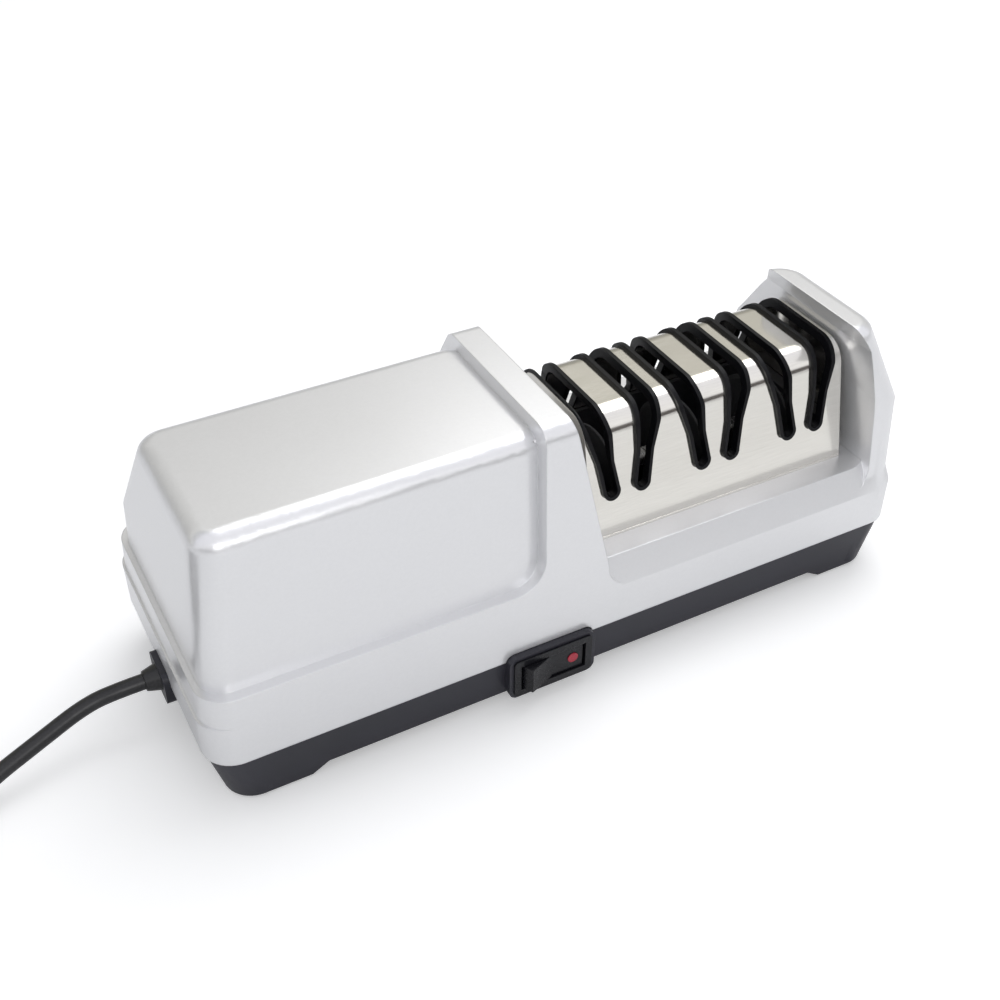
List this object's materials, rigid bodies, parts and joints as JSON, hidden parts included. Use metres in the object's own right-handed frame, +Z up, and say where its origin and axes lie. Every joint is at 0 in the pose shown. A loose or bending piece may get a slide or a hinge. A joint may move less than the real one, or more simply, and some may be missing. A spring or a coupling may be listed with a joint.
{
  "type": "electric knife sharpener",
  "caption": "Bench knife sharpener: a motor in a silver housing turns sprung abrasive discs below a slotted steel cover with sloping blade guides; rocker switch and power cord.",
  "frame": {"origin": "middle of the length and width of the appliance without its cord, on the surface that the feet stand on", "axes": "+X along the housing from the motor end to the module end, +Y from the switch to the back, +Z up"},
  "size_m": [0.5843, 0.1602, 0.1375],
  "materials": {
    "silver_paint": "satin silver paint",
    "black_base": "satin black",
    "switch_black": "gloss black",
    "red_lens": "clear red",
    "rubber_feet": "matte",
    "brushed_steel": "brushed",
    "black_frame": "matte black",
    "bearing_steel": "ground",
    "shaft_steel": "ground",
    "abrasive": "fine grit",
    "stator_iron": "laminated",
    "winding_copper": "enamelled wire",
    "cast_bell": "cast",
    "fan_plastic": "moulded",
    "screw_steel": "zinc",
    "coupling_metal": "turned",
    "spider_rubber": "soft",
    "terminal_brass": "bright",
    "cord_rubber": "satin black",
    "block_plastic": "moulded",
    "lead_plastic": "insulation",
    "tie_plastic": "matte black",
    "guide_plastic": "satin black",
    "spring_steel": "spring wire"
  },
  "bodies": {
    "housing": {"upper_housing": "silver_paint", "base_tray": "black_base", "switch_body": "switch_black", "rubber_feet": "rubber_feet", "module_cover": "brushed_steel", "module_frame": "black_frame", "left_shaft_bearing": "bearing_steel", "right_shaft_bearing": "bearing_steel", "stator_core": "stator_iron", "stator_windings": "winding_copper", "front_end_bell": "cast_bell", "rear_end_bell": "cast_bell", "front_motor_bearing": "bearing_steel", "rear_motor_bearing": "bearing_steel", "motor_through_bolts": "screw_steel", "motor_foot_screws": "screw_steel", "base_screws": "screw_steel", "switch_terminals": "terminal_brass", "strain_relief": "cord_rubber", "terminal_block": "block_plastic", "supply_leads": "lead_plastic", "switch_leads": "lead_plastic", "power_cord": "cord_rubber", "cord_coil": "cord_rubber", "coil_tie": "tie_plastic", "plug_body": "cord_rubber", "plug_pins": "terminal_brass", "blade_guide_1": "guide_plastic", "blade_guide_2": "guide_plastic", "blade_guide_3": "guide_plastic", "blade_guide_4": "guide_plastic", "blade_guide_5": "guide_plastic", "blade_guide_6": "guide_plastic"},
    "spindle": {"rotor_core": "stator_iron", "motor_shaft": "shaft_steel", "cooling_fan": "fan_plastic", "motor_coupling_half": "coupling_metal", "coupling_spider": "spider_rubber", "disc_coupling_half": "coupling_metal", "disc_shaft": "shaft_steel", "disc_stop_rings": "shaft_steel", "disc_spring_1": "spring_steel", "disc_spring_2": "spring_steel", "disc_spring_3": "spring_steel"},
    "rocker": {"rocker_button": "switch_black", "indicator_lens": "red_lens"},
    "disc_1": {"abrasive_disc_1": "abrasive"},
    "disc_2": {"abrasive_disc_2": "abrasive"},
    "disc_3": {"abrasive_disc_3": "abrasive"},
    "disc_4": {"abrasive_disc_4": "abrasive"},
    "disc_5": {"abrasive_disc_5": "abrasive"},
    "disc_6": {"abrasive_disc_6": "abrasive"}
  },
  "joints": [
    {"name": "motor_spin", "type": "hinge", "parent": "housing", "child": "spindle", "pos_m": [0.0043, -0.00602, 0.066], "axis": [1, 0, 0], "continuous": true},
    {"name": "rocker_press", "type": "hinge", "parent": "housing", "child": "rocker", "pos_m": [-0.0157, -0.05752, 0.018], "axis": [0, 0, -1], "range_deg": [0, 22]},
    {"name": "disc_1_yield", "type": "slide", "parent": "spindle", "child": "disc_1", "axis": [1, 0, 0], "range_m": [0, 0.0008], "stiffness_N_per_m": 2000, "springref_m": -0.0004, "deforming": ["disc_spring_1"]},
    {"name": "disc_2_yield", "type": "slide", "parent": "spindle", "child": "disc_2", "axis": [-1, 0, 0], "range_m": [0, 0.0008], "stiffness_N_per_m": 2000, "springref_m": -0.0004},
    {"name": "disc_3_yield", "type": "slide", "parent": "spindle", "child": "disc_3", "axis": [1, 0, 0], "range_m": [0, 0.0008], "stiffness_N_per_m": 2000, "springref_m": -0.0004, "deforming": ["disc_spring_2"]},
    {"name": "disc_4_yield", "type": "slide", "parent": "spindle", "child": "disc_4", "axis": [-1, 0, 0], "range_m": [0, 0.0008], "stiffness_N_per_m": 2000, "springref_m": -0.0004},
    {"name": "disc_5_yield", "type": "slide", "parent": "spindle", "child": "disc_5", "axis": [1, 0, 0], "range_m": [0, 0.0008], "stiffness_N_per_m": 2000, "springref_m": -0.0004, "deforming": ["disc_spring_3"]},
    {"name": "disc_6_yield", "type": "slide", "parent": "spindle", "child": "disc_6", "axis": [-1, 0, 0], "range_m": [0, 0.0008], "stiffness_N_per_m": 2000, "springref_m": -0.0004}
  ]
}
